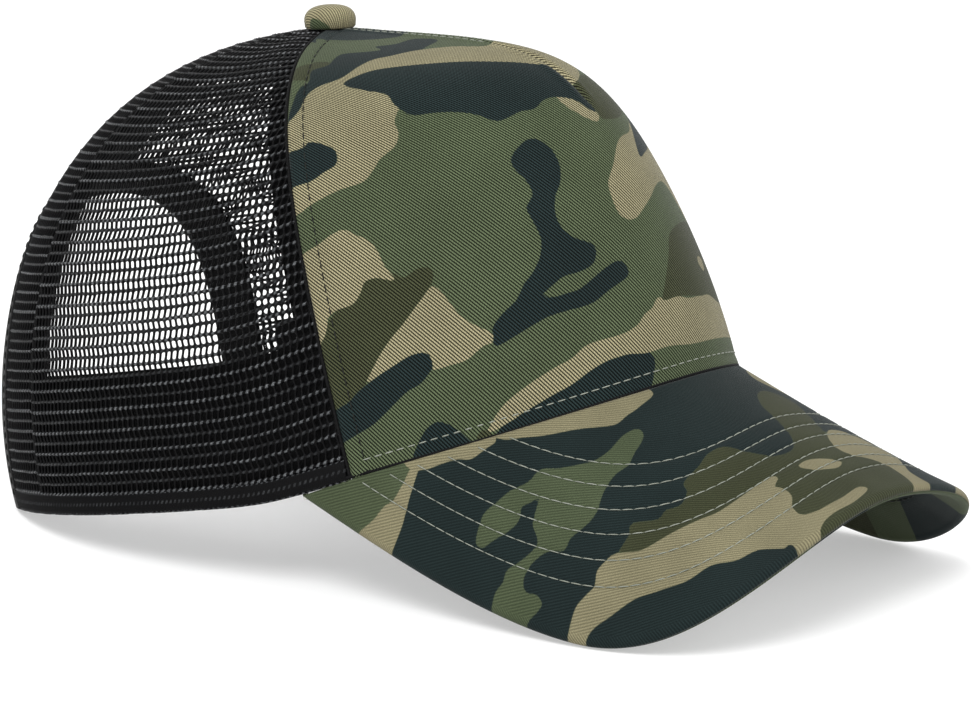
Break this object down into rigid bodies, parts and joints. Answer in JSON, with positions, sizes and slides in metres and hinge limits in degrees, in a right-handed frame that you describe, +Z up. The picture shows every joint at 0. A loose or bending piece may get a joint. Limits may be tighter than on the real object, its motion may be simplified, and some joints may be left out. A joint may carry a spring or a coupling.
{
  "type": "trucker mesh cap",
  "caption": "Five-panel trucker cap with a structured camouflage twill front, black mesh sides and back, a curved stitched brim and an adjustable plastic snap closure under a rear arch.",
  "frame": {"origin": "bottom centre of the cap's box, on the table that it rests on", "axes": "+Z up as the cap rests; the brim points towards -Y; the wearer's right is -X"},
  "size_m": [0.145, 0.263, 0.1346],
  "materials": {
    "camo_twill": "cotton twill, printed in four camouflage colours, matte, with a visible diagonal weave",
    "black_mesh": "open knitted polyester mesh, stiff, with a slight sheen",
    "black_tape": "woven tape, matte",
    "black_band": "soft twill sweatband, matte",
    "stiffener": "fused laminate, matte",
    "brim_board": "moulded sheet, matte",
    "button_steel": "pressed steel",
    "snap_plastic": "moulded polyethylene, satin"
  },
  "bodies": {
    "cap": {"front_panel": "camo_twill", "front_stiffener": "stiffener", "side_mesh_right": "black_mesh", "side_mesh_left": "black_mesh", "back_mesh_right": "black_mesh", "back_mesh_left": "black_mesh", "arch_binding": "black_tape", "front_tape_right": "black_tape", "front_tape_left": "black_tape", "rear_tape_right": "black_tape", "rear_tape_left": "black_tape", "back_tape": "black_tape", "sweatband": "black_band", "brim_board": "brim_board", "brim_top_cover": "camo_twill", "brim_under_cover": "camo_twill", "button_cover": "camo_twill", "button_core": "button_steel", "button_rivet": "button_steel", "button_washer": "button_steel", "hole_strap_tab": "snap_plastic", "peg_strap_tab": "snap_plastic"},
    "hole_strap": {"hole_strap": "snap_plastic"},
    "peg_strap": {"peg_strap": "snap_plastic"}
  },
  "joints": [
    {"name": "hole_strap_flex", "type": "hinge", "parent": "cap", "child": "hole_strap", "pos_m": [0.041, 0.11494, 0.0134], "axis": [0, -0.1874, -0.9823], "range_deg": [0, 60]},
    {"name": "peg_strap_flex", "type": "hinge", "parent": "cap", "child": "peg_strap", "pos_m": [-0.041, 0.11341, 0.01369], "axis": [0, -0.1874, -0.9823], "range_deg": [0, 40]}
  ]
}
